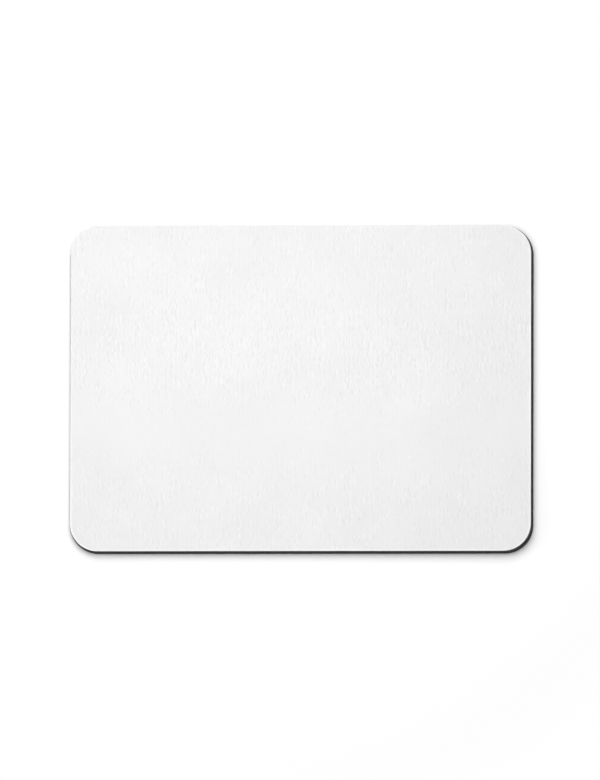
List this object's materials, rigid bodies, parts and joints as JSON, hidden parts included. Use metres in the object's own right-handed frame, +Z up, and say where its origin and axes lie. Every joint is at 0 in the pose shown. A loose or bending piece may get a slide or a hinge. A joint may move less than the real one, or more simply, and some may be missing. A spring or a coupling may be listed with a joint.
{
  "type": "mouse pad",
  "caption": "Flat rectangular desk mouse pad with rounded corners: a white brushed-knit face bonded to a black foam-rubber base with a non-slip underside.",
  "frame": {"origin": "middle of the underside, on the surface that the pad lies on", "axes": "+Z up out of the cloth face, +X along the long side to the user's right, +Y away from the user"},
  "size_m": [0.2524, 0.1794, 0.006],
  "materials": {
    "face_cloth": "matte white polyester knit, lightly brushed, grain along the short side",
    "bond_film": "milky hot-melt film, only its cut edge shows",
    "foam_rubber": "matte black foam rubber, open-cell cut edge, embossed non-slip underside"
  },
  "bodies": {
    "root": {"cloth_face": "face_cloth", "bond_film": "bond_film", "rubber_base": "foam_rubber"}
  },
  "joints": []
}
